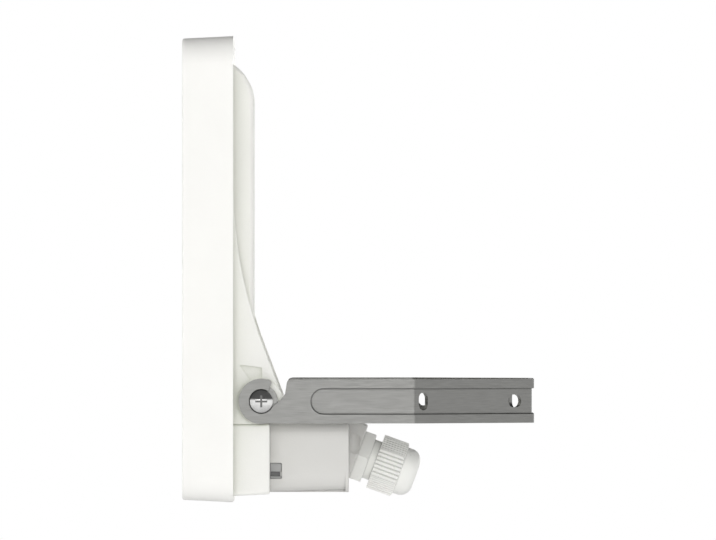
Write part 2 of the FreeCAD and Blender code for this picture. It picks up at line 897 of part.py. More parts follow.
def terminal_screws():
    x, y, z = terminal_place()
    pitch = terminal_width / terminal_ways
    screws = []
    for way in range(terminal_ways):
        foot = Vector(x + pitch * (way + 0.5), y + terminal_depth / 2, z + terminal_height * 0.5)
        screws.append(rod(foot, Vector(0, 0, 1), terminal_height * 0.3, pitch * 0.3 - snug))
    return screws


# Cable gland


def gland_body():
    spanner_part = hexagon(gland_seat, gland_axis, gland_up, gland_hex, gland_size, False, hex_chamfer)
    inner = gland_point(-seat_wall - locknut_thickness - 1)
    thread = rod(inner, gland_axis, seat_wall + locknut_thickness + 1 + gland_hex, gland_thread)
    neck = rod(gland_point(gland_hex), gland_axis, gland_neck_length + gland_sleeve, gland_neck)
    body = join([spanner_part, thread, neck])
    length = seat_wall + locknut_thickness + 1 + gland_face + nut_length
    passage = rod(inner, gland_axis, length, cable_radius + 1)
    pocket = rod(gland_point(gland_hex), gland_axis, length, gland_bore)
    groove = rod(gland_seat, gland_axis, seal_thickness, gland_size / 2 - 0.6)
    groove = groove.cut(rod(gland_seat, gland_axis, seal_thickness, gland_thread + snug))
    return body.cut([passage, pocket, groove])


def gland_o_ring():
    ring = rod(gland_seat, gland_axis, seal_thickness, gland_size / 2 - 0.6 - snug)
    return ring.cut(rod(gland_seat, gland_axis, seal_thickness, gland_thread + snug * 2))


def gland_locknut():
    foot = gland_point(-seat_wall - locknut_thickness)
    nut = hexagon(foot, gland_axis, gland_up, locknut_thickness, gland_size, False, hex_chamfer)
    return nut.cut(rod(foot, gland_axis, locknut_thickness, gland_thread + snug))


def gland_seal():
    """Soft sleeve between the gland's body and its nut."""
    foot = gland_face - 0.8
    sleeve = rod(gland_point(foot), gland_axis, nut_length - 0.5, seal_radius)
    nose = cone(gland_point(foot + nut_length - 0.5), gland_axis, 2.5, seal_radius, seal_radius - 1.5)
    body = join([sleeve, nose])
    return body.cut(rod(gland_point(foot), gland_axis, nut_length + 10, cable_radius))


def gland_nut():
    foot = gland_point(gland_face)
    shell = hexagon(foot, gland_axis, gland_up, nut_length, gland_size, True, nut_chamfer)
    crown = rod(gland_point(gland_face), gland_axis, nut_length + nut_crown, nut_crown_radius)
    shoulder = gland_point(gland_face + nut_length).y
    tip = [edge for edge in crown.Edges if edge.Closed and edge.CenterOfMass.y > shoulder]
    crown = crown.makeFillet(nut_round, tip)
    body = join([shell, crown])
    flat_half = gland_size / 2 / math.sqrt(3)
    pitch = 2 * flat_half / nut_ribs
    grooves = []
    for side in range(6):
        turn = Rotation(gland_axis, 60 * side + 30)
        for rib in range(nut_ribs + 1):
            offset = -flat_half + pitch * rib
            outward = turn.multVec(gland_up)
            across = turn.multVec(Vector(1, 0, 0))
            centre = foot + outward * (gland_size / 2) + across * offset
            reach = across * (pitch - nut_rib_width) / 2
            rise = outward * nut_rib_depth
            cutter = Part.makePolygon([centre - rise, centre + reach * 2 + rise, centre - reach * 2 + rise,
                                       centre - rise])
            grooves.append(Part.Face(cutter).extrude(gland_axis * nut_length))
    thread = rod(foot, gland_axis, nut_bore, gland_neck + snug)
    mouth_radius = cable_radius + mouth_play
    taper_foot = gland_point(gland_face + nut_bore)
    taper = cone(taper_foot, gland_axis, nut_taper, gland_neck + snug, mouth_radius)
    mouth = rod(foot, gland_axis, nut_length + nut_crown, mouth_radius)
    return body.cut(grooves + [thread, taper, mouth])


# Bracket


def plan_path(depth):
    """Corner points of the strip's plan, drawn in from its outer face by depth, as (x, y, radius)."""
    shift = depth * math.tan(math.radians(22.5))
    radius = max(bend_radius + strip_thickness - depth, 0.2)
    near = (arm_outer - depth, -arm_reach - shift, radius)
    foot = (base_half - shift, -depth, radius)
    return [near, foot, (-foot[0], foot[1], radius), (-near[0], near[1], radius)]


def plan_band(start, end, front, low, high):
    """Part of the strip between two depths, from the front plane back to the wall and round again."""
    first = plan_path(start)
    last = plan_path(end)
    corners = [(first[0][0], front, 0)] + first + [(first[3][0], front, 0)]
    corners += [(last[3][0], front, 0)] + last[::-1] + [(last[0][0], front, 0)]
    wire = outline(corners, lambda p: Vector(p.x, p.y, low))
    return Part.Face(wire).extrude(Vector(0, 0, high - low))


def bead_arm_end(half, start, end):
    """Round ends of the bead on both arms."""
    centre = pivot_y + bead_end + bead_width / 2
    return both_sides(rod(Vector(arm_outer - end, centre, 0), Vector(1, 0, 0), end - start, half))


def slot_hole(centre, normal, along, length, radius):
    """Round-ended slot through the strip, centred on a point."""
    half = length / 2 - radius
    across = normal.cross(along)
    start = centre - normal * through
    ends = [rod(start + along * half, normal, 2 * through, radius),
            rod(start - along * half, normal, 2 * through, radius)]
    corners = [start + along * half + across * radius, start - along * half + across * radius,
               start - along * half - across * radius, start + along * half - across * radius,
               start + along * half + across * radius]
    return join(ends + [Part.Face(Part.makePolygon(corners)).extrude(normal * 2 * through)])


def bracket_holes():
    holes = []
    upward = Vector(0, 0, 1)
    for side, back, upright in flank_slots:
        normal = Vector(side, 1, 0).normalize()
        centre = Vector(side * (arm_outer - arm_reach + back), -back, 0)
        along = upward if upright else normal.cross(upward)
        holes.append(slot_hole(centre, normal, along, slot_length, slot_radius))
    for side in (-1, 1):
        centre = Vector(side * base_slot_span / 2, 0, 0)
        holes.append(slot_hole(centre, Vector(0, 1, 0), Vector(1, 0, 0), slot_length, slot_radius))
    deep = strip_thickness + bead_depth
    holes.append(rod(Vector(0, -2 * deep, 0), Vector(0, 1, 0), 4 * deep, centre_hole_radius))
    return holes


def hook_mouth():
    """Slot that lets the pivot screw drop into the hook, seen from the side."""
    near = pivot_y + mouth_near
    far = pivot_y + mouth_far
    top = ring_radius + 1
    corners = [
        (near, top, 0),
        (far + mouth_round * 1.2, top, 0),
        (far + mouth_round * 1.2, strip_half, 0),
        (far - 0.3, strip_half - 0.6, mouth_round),
        (far - 1.3, pivot_hole * 0.9, 2.0),
        (far - 2.8, pivot_hole * 0.3, 2.0),
        (pivot_y + pivot_hole * 1.4, -pivot_hole * 0.62, 0),
        (pivot_y, -pivot_hole * 0.62, 0),
        (pivot_y, pivot_hole * 0.9, 0),
        (near - mouth_lean, pivot_hole * 1.25, 0),
        (near, mouth_tip, 0),
    ]
    return side_slab(corners, arm_inner - 1, arm_outer + 1)


def strip_depth(point):
    """How far a point lies inside the strip's outer face."""
    across = abs(point.x)
    return min(arm_outer - across, (base_half - across - point.y) / math.sqrt(2), -point.y)


def on_bead(edge, half, depth):
    """Whether an edge runs along the bead's side or round its end, at a depth below the outer face."""
    centre = edge.CenterOfMass
    if abs(strip_depth(centre) - depth) > bead_depth / 3:
        return False
    along_side = abs(edge.BoundBox.ZMin - edge.BoundBox.ZMax) < 0.01 and abs(abs(centre.z) - half) < 0.01
    round_end = edge.BoundBox.YMax < pivot_y + bead_end + half + 0.1 and abs(edge.BoundBox.ZMax - half) < 0.05
    return along_side or round_end


def on_hook_tip(edge):
    """Whether an edge is the hook's upper corner beside the mouth."""
    centre = edge.CenterOfMass
    across = edge.BoundBox.XMax - edge.BoundBox.XMin
    beside = abs(centre.y - pivot_y - mouth_near) < 0.05 and centre.z > ring_radius / 2
    return beside and abs(across - strip_thickness) < 0.01


def bracket():
    strip = plan_band(0, strip_thickness, pivot_y, -strip_half, strip_half)
    ring = rod(Vector(arm_inner, pivot_y, 0), Vector(1, 0, 0), strip_thickness, ring_radius)
    half = bead_width / 2
    bead_front = pivot_y + bead_end + half
    outer_half = half + bead_flare
    ridge = plan_band(strip_thickness, strip_thickness + bead_depth, bead_front, -outer_half, outer_half)
    ridge_ends = bead_arm_end(outer_half, strip_thickness, strip_thickness + bead_depth)
    trough = plan_band(-1, bead_depth, bead_front, -half, half)
    trough_ends = bead_arm_end(half, -1, bead_depth)
    body = join([strip, ridge] + both_sides(ring) + ridge_ends)
    hole = rod(Vector(arm_inner - 1, pivot_y, 0), Vector(1, 0, 0), strip_thickness + 2, pivot_hole)
    sink = cone(Vector(arm_inner, pivot_y, 0), Vector(1, 0, 0), strip_thickness, pivot_hole,
                pivot_hole + strip_thickness)
    tools = both_sides(hook_mouth()) + both_sides(hole) + both_sides(sink)
    body = body.cut([trough] + trough_ends)
    body = body.makeFillet(bead_edge, [edge for edge in body.Edges if on_bead(edge, half, 0)])
    body = body.makeFillet(ridge_edge, [edge for edge in body.Edges
                                        if on_bead(edge, outer_half, strip_thickness + bead_depth)])
    body = body.cut(tools + bracket_holes())
    return body.makeFillet(hook_round, [edge for edge in body.Edges if on_hook_tip(edge)])


# Pivot screws and washers


def pivot_screw(side):
    """Countersunk screw with a raised head and a cross recess."""
    face = Vector(side * (arm_outer - snug * 3), pivot_y, 0)
    inward = Vector(-side, 0, 0)
    sunk = pivot_head - pivot_thread
    head = cone(face, inward, sunk, pivot_head, pivot_thread)
    crown_ball = (pivot_head ** 2 + pivot_crown ** 2) / (2 * pivot_crown)
    ball = Part.makeSphere(crown_ball, face - inward * (pivot_crown - crown_ball))
    crown = ball.common(rod(face, -inward, pivot_crown + 1, pivot_head))
    length = arm_outer - boss_face + pivot_length - pivot_spare
    shank = rod(face, inward, length, pivot_thread)
    web = cross_width / 2
    top = face - inward * (pivot_crown + 1)
    crossing = []
    for reach_y, reach_z in ((cross_reach, web), (web, cross_reach)):
        points = [top + Vector(0, -reach_y, -reach_z), top + Vector(0, reach_y, -reach_z),
                  top + Vector(0, reach_y, reach_z), top + Vector(0, -reach_y, reach_z),
                  top + Vector(0, -reach_y, -reach_z)]
        crossing.append(Part.Face(Part.makePolygon(points)).extrude(inward * (cross_depth + 1)))
    return join([head, crown, shank]).cut(crossing)


def pivot_washer(side):
    start = Vector(side * boss_face, pivot_y, 0)
    outward = Vector(side, 0, 0)
    washer = rod(start, outward, washer_thickness - snug, washer_radius)
    return washer.cut(rod(start, outward, washer_thickness, pivot_hole))


pieces = {
    "front_frame": front_frame(),
    "front_glass": front_glass(),
    "glass_gasket": glass_gasket(),
    "lens_plate": lens_plate(),
    "reflector_frame": reflector_frame(),
    "led_board": led_board(),
    "led_packages": led_packages(),
    "board_screws": board_screws(),
    "led_leads": led_leads(),
    "rear_housing": rear_housing(),
    "frame_screws": frame_screws(),
    "terminal_box": terminal_box(),
    "box_screws": box_screws(),
    "cover_gasket": cover_gasket(),
    "terminal_cover": terminal_cover(),
    "cover_screws": cover_screws(),
    "driver_board": driver_board(),
    "driver_screws": driver_screws(),
    "transformer": transformer(),
    "capacitors": capacitors(),
    "terminal_block": terminal_block(),
    "terminal_screws": terminal_screws(),
    "gland_body": gland_body(),
    "gland_o_ring": gland_o_ring(),
    "gland_locknut": gland_locknut(),
    "gland_seal": gland_seal(),
    "gland_nut": gland_nut(),
    "bracket": bracket(),
    "pivot_screw_left": pivot_screw(-1),
    "pivot_screw_right": pivot_screw(1),
    "pivot_washer_left": pivot_washer(-1),
    "pivot_washer_right": pivot_washer(1),
}

os.makedirs("parts", exist_ok=True)
for name, shape in pieces.items():
    if isinstance(shape, list):
        shape = Part.makeCompound(shape)
    shape.exportStep("parts/" + name + ".step")
    box = shape.BoundBox
    print(name, len(shape.Solids), "solids", round(shape.Volume, 1), "mm3", shape.isValid(),
          [round(v, 1) for v in (box.XMin, box.XMax, box.YMin, box.YMax, box.ZMin, box.ZMax)])
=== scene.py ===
"""Dresses the outdoor wall light: materials, small details, floor, light and camera."""
import math

import bmesh
import bpy
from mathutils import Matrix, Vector


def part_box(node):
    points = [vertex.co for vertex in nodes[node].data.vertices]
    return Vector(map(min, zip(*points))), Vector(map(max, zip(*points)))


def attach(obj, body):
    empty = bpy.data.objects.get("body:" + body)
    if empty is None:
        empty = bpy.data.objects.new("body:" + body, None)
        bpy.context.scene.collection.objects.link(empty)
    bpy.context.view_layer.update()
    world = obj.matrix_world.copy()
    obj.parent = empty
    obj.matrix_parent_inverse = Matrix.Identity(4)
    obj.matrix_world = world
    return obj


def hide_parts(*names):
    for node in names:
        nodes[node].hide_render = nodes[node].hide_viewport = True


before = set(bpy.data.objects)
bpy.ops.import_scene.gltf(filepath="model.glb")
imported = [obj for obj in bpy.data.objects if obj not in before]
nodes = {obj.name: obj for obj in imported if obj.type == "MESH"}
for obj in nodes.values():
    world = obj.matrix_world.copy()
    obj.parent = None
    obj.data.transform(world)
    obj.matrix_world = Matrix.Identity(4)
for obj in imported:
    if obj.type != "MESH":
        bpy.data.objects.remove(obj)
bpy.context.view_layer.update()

# Camera: the photograph's width in pixels, lens and sensor in millimetres, the rest in metres
photo_width = 716
metres_per_pixel = 0.00048
view_centre = Vector((0.106, -0.08496, 0.06307))
lens = 1200.0
sensor = 36.0
nearest_seen = 0.1
farthest_seen = 60.0

# Floor, in metres: it keeps its shade near the light and turns white farther out
floor_level = -0.25
floor_half = 6.0
shaded_within = 0.25
white_beyond = 1.1
white_share_near = 0.35

# Where the lamps point, and how far the lowest one lies above the floor, in metres
lamp_target = Vector((0, -0.08, 0.05))
lowest_lamp_lift = 0.01

# How far the painted shade in seams and wide inside corners reaches, in metres
metal_seam = 0.0012
plastic_seam = 0.001
corner_reach = 0.02

# Side windows of the connection box, their latch plates and the dark sheet of painted shade deep in each
# slot, in metres
window_width = 0.0059
window_height = 0.0078
window_top = -0.0297
window_depth = 0.0016
latch_play = 0.00025
latch_thickness = 0.0006
latch_edge = 0.00015
slot_height = 0.0024
slot_lift = 0.0012
slot_depth = 0.0011
slot_inset = 0.0008
slot_thickness = 0.0004
slot_edge = 0.0001

# Enamel border on the back of the front glass, in metres
enamel_thickness = 0.00003
enamel_sink = 0.00004
enamel_past_reflector = 0.001
enamel_past_gasket = 0.0012
enamel_inner_corner = 0.0145
enamel_outer_corner = 0.011

# Cross recesses: the way that the heads face, then reach, width and depth in metres
screw_recesses = {
    "frame_screws": ((0, 1, 0), 0.0024, 0.001, 0.0016),
    "cover_screws": ((0, 1, 0), 0.0019, 0.0008, 0.0012),
    "board_screws": ((0, -1, 0), 0.0015, 0.0007, 0.001),
}

# A recess is cut from this far above the head, in metres, and its bottom is this share as long
recess_start = 0.0002
recess_taper = 0.45

# Points of a mesh that lie this close are one point, in metres
weld_distance = 0.000001


# Material helpers


def scaled(colour, share):
    return tuple(value * share for value in colour)


class Graph:
    """A material's node tree, with short ways to add and join nodes."""

    def __init__(self, name):
        self.material = bpy.data.materials.new(name)
        self.material.use_nodes = True
        self.tree = self.material.node_tree
        self.shader = self.tree.nodes["Principled BSDF"]

    def node(self, kind, **settings):
        made = self.tree.nodes.new(kind)
        for key, value in settings.items():
            setattr(made, key, value)
        return made

    def join(self, source, target):
        self.tree.links.new(source, target)

    def place(self, scale=(1.0, 1.0, 1.0)):
        """Object coordinates in metres, times a scale on each axis."""
        source = self.node("ShaderNodeTexCoord")
        mapping = self.node("ShaderNodeMapping")
        mapping.inputs["Scale"].default_value = scale
        self.join(source.outputs["Object"], mapping.inputs["Vector"])
        return mapping.outputs["Vector"]

    def noise(self, cells, detail):
        """Noise value; cells is how many a metre holds, one number or one for each axis."""
        if not isinstance(cells, tuple):
            cells = (cells, cells, cells)
        made = self.node("ShaderNodeTexNoise")
        made.inputs["Scale"].default_value = 1.0
        made.inputs["Detail"].default_value = detail
        self.join(self.place(cells), made.inputs["Vector"])
        return made.outputs["Fac"]

    def ramp(self, value, low, high, to_low, to_high):
        made = self.node("ShaderNodeMapRange")
        made.inputs["From Min"].default_value = low
        made.inputs["From Max"].default_value = high
        made.inputs["To Min"].default_value = to_low
        made.inputs["To Max"].default_value = to_high
        self.join(value, made.inputs["Value"])
        return made.outputs["Result"]

    def spread(self, value, to_low=0.0, to_high=1.0):
        """A noise value, which mostly lies from 0.3 to 0.7, spread out from one value to another."""
        return self.ramp(value, 0.3, 0.7, to_low, to_high)

    def blend(self, factor, first, second):
        """Colour between two colours or colour outputs."""
        made = self.node("ShaderNodeMix", data_type="RGBA")
        self.join(factor, made.inputs["Factor"])
        for index, value in ((6, first), (7, second)):
            if isinstance(value, tuple):
                made.inputs[index].default_value = (*value, 1.0)
            else:
                self.join(value, made.inputs[index])
        return made.outputs[2]

    def number(self, operation, first, second):
        """Math node on two values, each a number or an output."""
        made = self.node("ShaderNodeMath", operation=operation)
        for index, value in enumerate((first, second)):
            if isinstance(value, (int, float)):
                made.inputs[index].default_value = value
            else:
                self.join(value, made.inputs[index])
        return made.outputs["Value"]

    def along(self, axis):
        """Object coordinate in metres along an axis, 0 to 2."""
        source = self.node("ShaderNodeTexCoord")
        split = self.node("ShaderNodeSeparateXYZ")
        self.join(source.outputs["Object"], split.inputs["Vector"])
        return split.outputs[axis]

    def from_row(self, axis, start, pitch):
        """Distance along an axis from the nearest place of an even row."""
        shifted = self.number("SUBTRACT", self.along(axis), start)
        return self.number("PINGPONG", shifted, pitch / 2)

    def crease_shade(self, source, reach, shade, closed=0.3, clear=0.85):
        """Colour output with painted shade in seams and grooves up to about reach wide.

        closed and clear are how open a spot is where it's all painted shade and where it has none.
        """
        hollow = self.node("ShaderNodeAmbientOcclusion", samples=6)
        hollow.inputs["Distance"].default_value = reach
        return self.blend(self.ramp(hollow.outputs["AO"], closed, clear, 0, 1), shade, source)

    def colour(self, source):
        self.join(source, self.shader.inputs["Base Color"])

    def roughness(self, source):
        self.join(source, self.shader.inputs["Roughness"])

    def bumps(self, *layers):
        """Bump layers, each (height value, depth in metres, strength)."""
        before = None
        for height, depth, strength in layers:
            made = self.node("ShaderNodeBump")
            made.inputs["Distance"].default_value = depth
            made.inputs["Strength"].default_value = strength
            self.join(height, made.inputs["Height"])
            if before is not None:
                self.join(before, made.inputs["Normal"])
            before = made.outputs["Normal"]
        self.join(before, self.shader.inputs["Normal"])

    def set(self, **values):
        for key, value in values.items():
            self.shader.inputs[key.replace("_", " ")].default_value = value


def coated(name, light, dark, grain=1400, depth=0.00006, rough=(0.38, 0.5), seam=0.6, corner=None):
    """Powder-coated metal: fine orange peel, faint clouding.

    seam is how dark the painted shade in its seams is, and corner how dark the painted shade in its wide
    inside corners is.
    """
    graph = Graph(name)
    clouds = graph.spread(graph.noise(cells=22, detail=3))
    specks = graph.ramp(graph.noise(cells=2600, detail=1), low=0.62, high=0.8, to_low=0, to_high=0.5)
    finish = graph.blend(specks, graph.blend(clouds, light, dark), scaled(light, 0.93))
    # Painted shade in seams and grooves
    finish = graph.crease_shade(finish, metal_seam, scaled(dark, seam))
    # Painted shade in wide inside corners
    if corner is not None:
        corner_shade_colour = tuple(value * share for value, share in zip(light, corner))
        finish = graph.crease_shade(finish, corner_reach, corner_shade_colour)
    graph.colour(finish)
    graph.roughness(graph.spread(graph.noise(cells=90, detail=2), *rough))
    peel = graph.noise(grain, detail=2)
    waves = graph.noise(cells=380, detail=1)
    graph.bumps((peel, depth, 0.5), (waves, depth * 2, 0.15))
    return graph.material


def moulded(name, light, dark, rough=(0.35, 0.5), grain=2200, depth=0.00002, seam=0.6):
    """Moulded plastic with a fine satin skin; seam is how dark the painted shade in its seams is."""
    graph = Graph(name)
    clouds = graph.spread(graph.noise(cells=45, detail=3))
    graph.colour(graph.crease_shade(graph.blend(clouds, light, dark), plastic_seam, scaled(dark, seam)))
    graph.roughness(graph.spread(graph.noise(cells=160, detail=3), *rough))
    graph.bumps((graph.noise(grain, detail=2), depth, 0.4))
    return graph.material


def soft_rubber(name, light, dark, rough=(0.6, 0.78), depth=0.00003):
    """Matt rubber or silicone."""
    graph = Graph(name)
    graph.colour(graph.blend(graph.spread(graph.noise(cells=260, detail=4)), light, dark))
    graph.roughness(graph.spread(graph.noise(cells=500, detail=2), *rough))
    graph.bumps((graph.noise(cells=1800, detail=3), depth, 0.5))
    return graph.material


def brushed(name, light, dark, cells=(130, 130, 2300), rough=(0.28, 0.36), depth=0.00002):
    """Brushed stainless steel: short fine streaks, stretched where cells has few in a metre."""
    graph = Graph(name)
    fine = graph.noise(cells, detail=3)
    broad = graph.noise((cells[0] / 5, cells[1] / 5, cells[2] / 12), detail=2)
    middle = tuple((first + second) / 2 for first, second in zip(light, dark))
    streaks = graph.ramp(broad, low=0.35, high=0.65, to_low=0, to_high=0.5)
    finish = graph.blend(streaks, graph.blend(graph.spread(fine), light, dark), middle)
    # Painted shade in seams and grooves
    graph.colour(graph.crease_shade(finish, metal_seam, scaled(dark, 0.2)))
    graph.roughness(graph.spread(fine, *rough))
    graph.bumps((fine, depth, 0.35), (graph.noise(cells=900, detail=2), depth, 0.1))
    graph.set(Metallic=1.0, Anisotropic=0.4)
    return graph.material


def plated(name, light, dark, rough=(0.14, 0.26), depth=0.00001, reach=0.0008, closed=0.3, clear=0.85):
    """Bright plated or turned metal with fine wear, and painted shade in recesses up to about reach wide.
    """
    graph = Graph(name)
    wear = graph.ramp(graph.noise(cells=420, detail=4), low=0.35, high=0.7, to_low=0, to_high=1)
    graph.colour(graph.crease_shade(graph.blend(wear, light, dark), reach, scaled(dark, 0.12), closed, clear))
    graph.roughness(graph.spread(graph.noise(cells=700, detail=3), *rough))
    graph.bumps((graph.noise(cells=1500, detail=2), depth, 0.3))
    graph.set(Metallic=1.0)
    return graph.material


def see_through(name, tint, rough, ior, ripple, uneven=0.02, depth=0.00002):
    """Glass or clear plastic, faintly uneven; ripple is its waves in cells a metre."""
    graph = Graph(name)
    graph.colour(graph.blend(graph.spread(graph.noise(cells=12, detail=2)), tint, scaled(tint, 0.97)))
    graph.roughness(graph.spread(graph.noise(cells=60, detail=2), rough, rough + uneven))
    graph.bumps((graph.noise(ripple, detail=1), depth, 0.05))
    graph.set(Transmission_Weight=1.0, IOR=ior)
    return graph.material


def printed_board(name, mask, gap_tint, rows, half_field, edge=0.0003, copper=0.00004, skin=0.00001):
    """Circuit board: solder mask over square copper fields, with thin gaps between them.

    rows gives (axis, start, pitch) for the two ways that the fields repeat.
    """
    graph = Graph(name)
    across, upward = (graph.from_row(*row) for row in rows)
    far = graph.number("MAXIMUM", across, upward)
    field = graph.ramp(far, half_field, half_field + edge, 1, 0)
    clouds = graph.spread(graph.noise(cells=35, detail=3))
    graph.colour(graph.blend(field, gap_tint, graph.blend(clouds, mask, scaled(mask, 0.96))))
    graph.roughness(graph.spread(graph.noise(cells=120, detail=2), 0.3, 0.42))
    graph.bumps((field, copper, 0.4), (graph.noise(cells=1500, detail=2), skin, 0.3))
    return graph.material


def light_emitter(name, ceramic, phosphor, rows, radius, edge=0.0002, rise=0.00005, skin=0.00001):
    """Light emitter: white ceramic body with a round field of yellow phosphor."""
    graph = Graph(name)
    across, upward = (graph.from_row(*row) for row in rows)
    squares = graph.number("ADD", graph.number("POWER", across, 2), graph.number("POWER", upward, 2))
    far = graph.number("SQRT", squares, 0)
    inside = graph.ramp(far, radius, radius + edge, 1, 0)
    grains = graph.spread(graph.noise(cells=1800, detail=2))
    yellow = graph.blend(grains, phosphor, scaled(phosphor, 0.88))
    graph.colour(graph.blend(inside, ceramic, yellow))
    graph.roughness(graph.ramp(inside, 0, 1, to_low=0.45, to_high=0.25))
    graph.bumps((inside, rise, 0.5), (graph.noise(cells=1500, detail=2), skin, 0.3))
    return graph.material


# The nodes' materials

emitter_low, emitter_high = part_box("led_packages")
emitter_size = 0.007
emitters_a_side = 4
emitter_pitch = (emitter_high[0] - emitter_low[0] - emitter_size) / (emitters_a_side - 1)
emitter_rows = ((0, emitter_low[0] + emitter_size / 2, emitter_pitch),
                (2, emitter_low[2] + emitter_size / 2, emitter_pitch))
phosphor_radius = 0.0027
led_field_gap = 0.0018
driver_rows = ((0, 0.0, 0.012), (1, 0.0, 0.009))
driver_half_field = 0.0042

frame_paint = coated("frame_paint", (0.93, 0.924, 0.893), (0.905, 0.899, 0.868))
# Painted shade in its seams and in its wide inside corners
casting_paint = coated("casting_paint", (0.872, 0.868, 0.832), (0.845, 0.841, 0.805),
                       grain=900, depth=0.0001, seam=0.88, corner=(0.76, 0.775, 0.725))
box_paint = coated("box_paint", (0.685, 0.678, 0.652), (0.66, 0.653, 0.628), grain=1000, depth=0.00008)

front_glass = see_through("front_glass_clear", (0.95, 0.975, 0.965), rough=0.0, ior=1.5, ripple=40)
lens_plastic = see_through("lens_plastic", (0.97, 0.975, 0.98), rough=0.03, ior=1.49, ripple=90)

gasket_rubber = soft_rubber("gasket_rubber", (0.045, 0.045, 0.047), (0.03, 0.03, 0.032))
gasket_silicone = soft_rubber("gasket_silicone", (0.72, 0.72, 0.70), (0.66, 0.66, 0.64))
lead_silicone = soft_rubber("lead_silicone", (0.80, 0.79, 0.75), (0.74, 0.73, 0.69))
ferrite = soft_rubber("ferrite", (0.05, 0.046, 0.045), (0.03, 0.028, 0.028))

reflector_plastic = moulded("reflector_plastic", (0.90, 0.90, 0.89), (0.87, 0.87, 0.86), rough=(0.16, 0.26))
# Strong painted shade in the grooves of the gland
gland_plastic = moulded("gland_plastic", (0.91, 0.91, 0.875), (0.87, 0.87, 0.835),
                        rough=(0.26, 0.36), seam=0.5)
terminal_plastic = moulded("terminal_plastic", (0.60, 0.61, 0.59), (0.55, 0.56, 0.54))
capacitor_sleeve = moulded("capacitor_sleeve", (0.03, 0.035, 0.06), (0.02, 0.025, 0.045),
                           rough=(0.25, 0.35))
latch_grey = moulded("latch_grey", (0.42, 0.42, 0.415), (0.38, 0.38, 0.375), seam=0.5)
# Painted shade: near-black sheet standing for the shadow deep in each latch slot
slot_shade_grey = moulded("slot_shade_grey", (0.16, 0.16, 0.16), (0.13, 0.13, 0.13), seam=0.5)
glass_enamel = moulded("glass_enamel", (0.82, 0.82, 0.81), (0.79, 0.79, 0.78),
                       rough=(0.2, 0.3), seam=0.9)

emitter = light_emitter("emitter", (0.88, 0.88, 0.86), (0.85, 0.60, 0.09), emitter_rows, phosphor_radius)
board_mask = printed_board("board_mask", (0.86, 0.86, 0.84), (0.66, 0.66, 0.63),
                           emitter_rows, (emitter_pitch - led_field_gap) / 2)
driver_mask = printed_board("driver_mask", (0.02, 0.12, 0.04), (0.03, 0.06, 0.03),
                            driver_rows, driver_half_field)

bracket_steel = brushed("bracket_steel", (0.27, 0.27, 0.26), (0.24, 0.239, 0.23))
washer_steel = brushed("washer_steel", (0.31, 0.31, 0.30), (0.25, 0.25, 0.24), cells=(900, 900, 900))
screw_steel = plated("screw_steel", (0.62, 0.62, 0.61), (0.50, 0.50, 0.49))
# Strong painted shade in the cross recesses of the pivot screws
pivot_steel = plated("pivot_steel", (0.80, 0.80, 0.79), (0.70, 0.70, 0.69),
                     rough=(0.05, 0.1), reach=0.0035, closed=0.78, clear=0.98)
brass = plated("brass", (0.62, 0.42, 0.14), (0.50, 0.33, 0.10))

node_materials = {
    "front_frame": frame_paint,
    "front_glass": front_glass,
    "glass_gasket": gasket_silicone,
    "lens_plate": lens_plastic,
    "reflector_frame": reflector_plastic,
    "led_board": board_mask,
    "led_packages": emitter,
    "led_leads": lead_silicone,
    "board_screws": screw_steel,
    "rear_housing": casting_paint,
    "frame_screws": screw_steel,
    "terminal_box": box_paint,
    "box_screws": screw_steel,
    "cover_gasket": gasket_rubber,
    "terminal_cover": box_paint,
    "cover_screws": screw_steel,
    "driver_board": driver_mask,
    "driver_screws": screw_steel,
    "transformer": ferrite,
    "capacitors": capacitor_sleeve,
    "terminal_block": terminal_plastic,
    "terminal_screws": brass,
    "gland_body": gland_plastic,
    "gland_o_ring": gasket_rubber,
    "gland_locknut": gland_plastic,
    "gland_seal": gasket_rubber,
    "gland_nut": gland_plastic,
    "bracket": bracket_steel,
    "pivot_screw_left": pivot_steel,
    "pivot_screw_right": pivot_steel,
    "pivot_washer_left": washer_steel,
    "pivot_washer_right": washer_steel,
}
for name, node in nodes.items():
    node.data.materials.clear()
    node.data.materials.append(node_materials[name])


# Pieces that the solids leave out


def add_object(name, data):
    """New object, linked to the scene."""
    made = bpy.data.objects.new(name, data)
    bpy.context.scene.collection.objects.link(made)
    return made


def add_piece(name, shape, material, body):
    """Object from a bmesh, with its material and body."""
    bmesh.ops.recalc_face_normals(shape, faces=shape.faces)
    mesh = bpy.data.meshes.new(name)
    shape.to_mesh(mesh)
    shape.free()
    mesh.materials.append(material)
    piece = add_object(name, mesh)
    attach(piece, body)
    return piece


def ledged_plate(shape, side, depth, thickness, y_range, z_range, edge, ledge=0.75):
    """Adds a thin plate, whose back lies at |x| = depth on one side.

    Each front edge is a flat ledge and a steep slope, edge wide together, and ledge is the flat share.
    """
    rings = []
    shoulder = thickness - edge
    for height, inset in ((0, 0), (shoulder, 0), (shoulder, ledge * edge), (thickness, edge)):
        front, rear = y_range[0] + inset, y_range[1] - inset
        low, high = z_range[0] + inset, z_range[1] - inset
        rings.append([shape.verts.new((side * (depth + height), y, z)) for y, z in
                      ((front, low), (rear, low), (rear, high), (front, high))])
    shape.faces.new(rings[0])
    shape.faces.new(rings[-1])
    for lower, upper in zip(rings, rings[1:]):
        for index, vert in enumerate(lower):
            after = (index + 1) % len(lower)
            shape.faces.new((vert, upper[index], upper[after], lower[after]))


